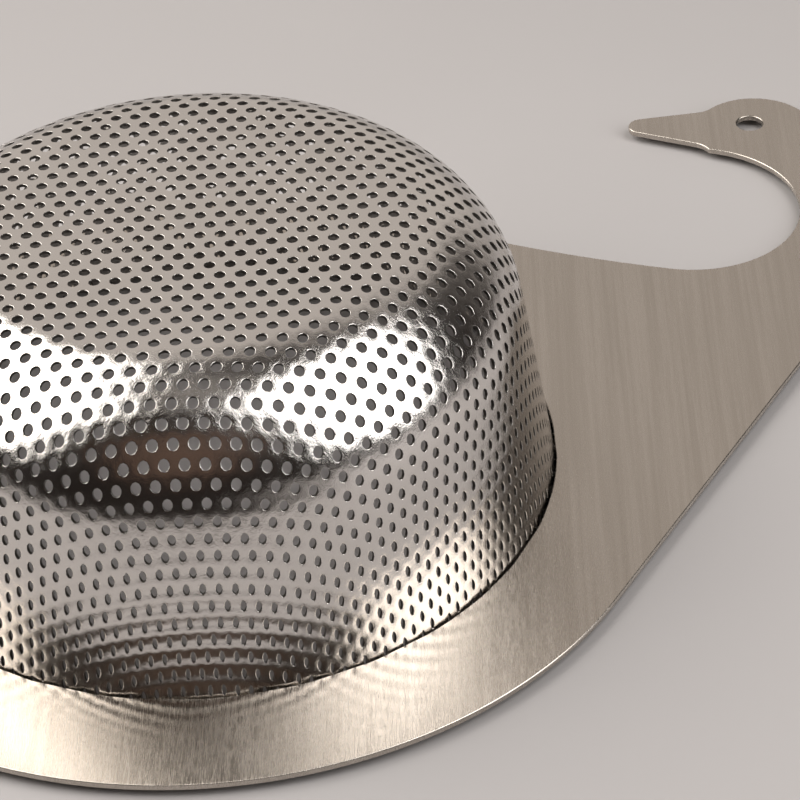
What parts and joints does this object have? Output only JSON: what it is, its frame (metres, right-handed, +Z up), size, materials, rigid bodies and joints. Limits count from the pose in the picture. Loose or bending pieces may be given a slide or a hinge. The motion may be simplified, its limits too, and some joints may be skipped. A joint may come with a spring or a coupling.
{
  "type": "tea strainer",
  "caption": "Perforated steel strainer basket with a folded rim, lying mouth down under a flat goose-shaped holder whose curled neck hooks over a tap or a pot's rim.",
  "frame": {"origin": "on the basket's axis, in the plane of the rim's outer face, which rests on the table", "axes": "+Z up along the basket's axis, from the rim to the upturned floor; +X and +Y towards the goose's neck and head, +X being the longest side"},
  "size_m": [0.2185, 0.2004, 0.0548],
  "materials": {
    "perforated_steel": "bright rolled steel, softly polished, slightly wavy from drawing",
    "rim_steel": "bright polished",
    "brushed_plate": "fine straight brushing, satin"
  },
  "bodies": {
    "basket": {"strainer_basket": "perforated_steel", "rim_ring": "rim_steel"},
    "holder": {"goose_holder": "brushed_plate"}
  },
  "joints": [
    {"name": "holder_lift", "type": "slide", "parent": "basket", "child": "holder", "axis": [0, 0, 1], "range_m": [0, 0.054]}
  ]
}
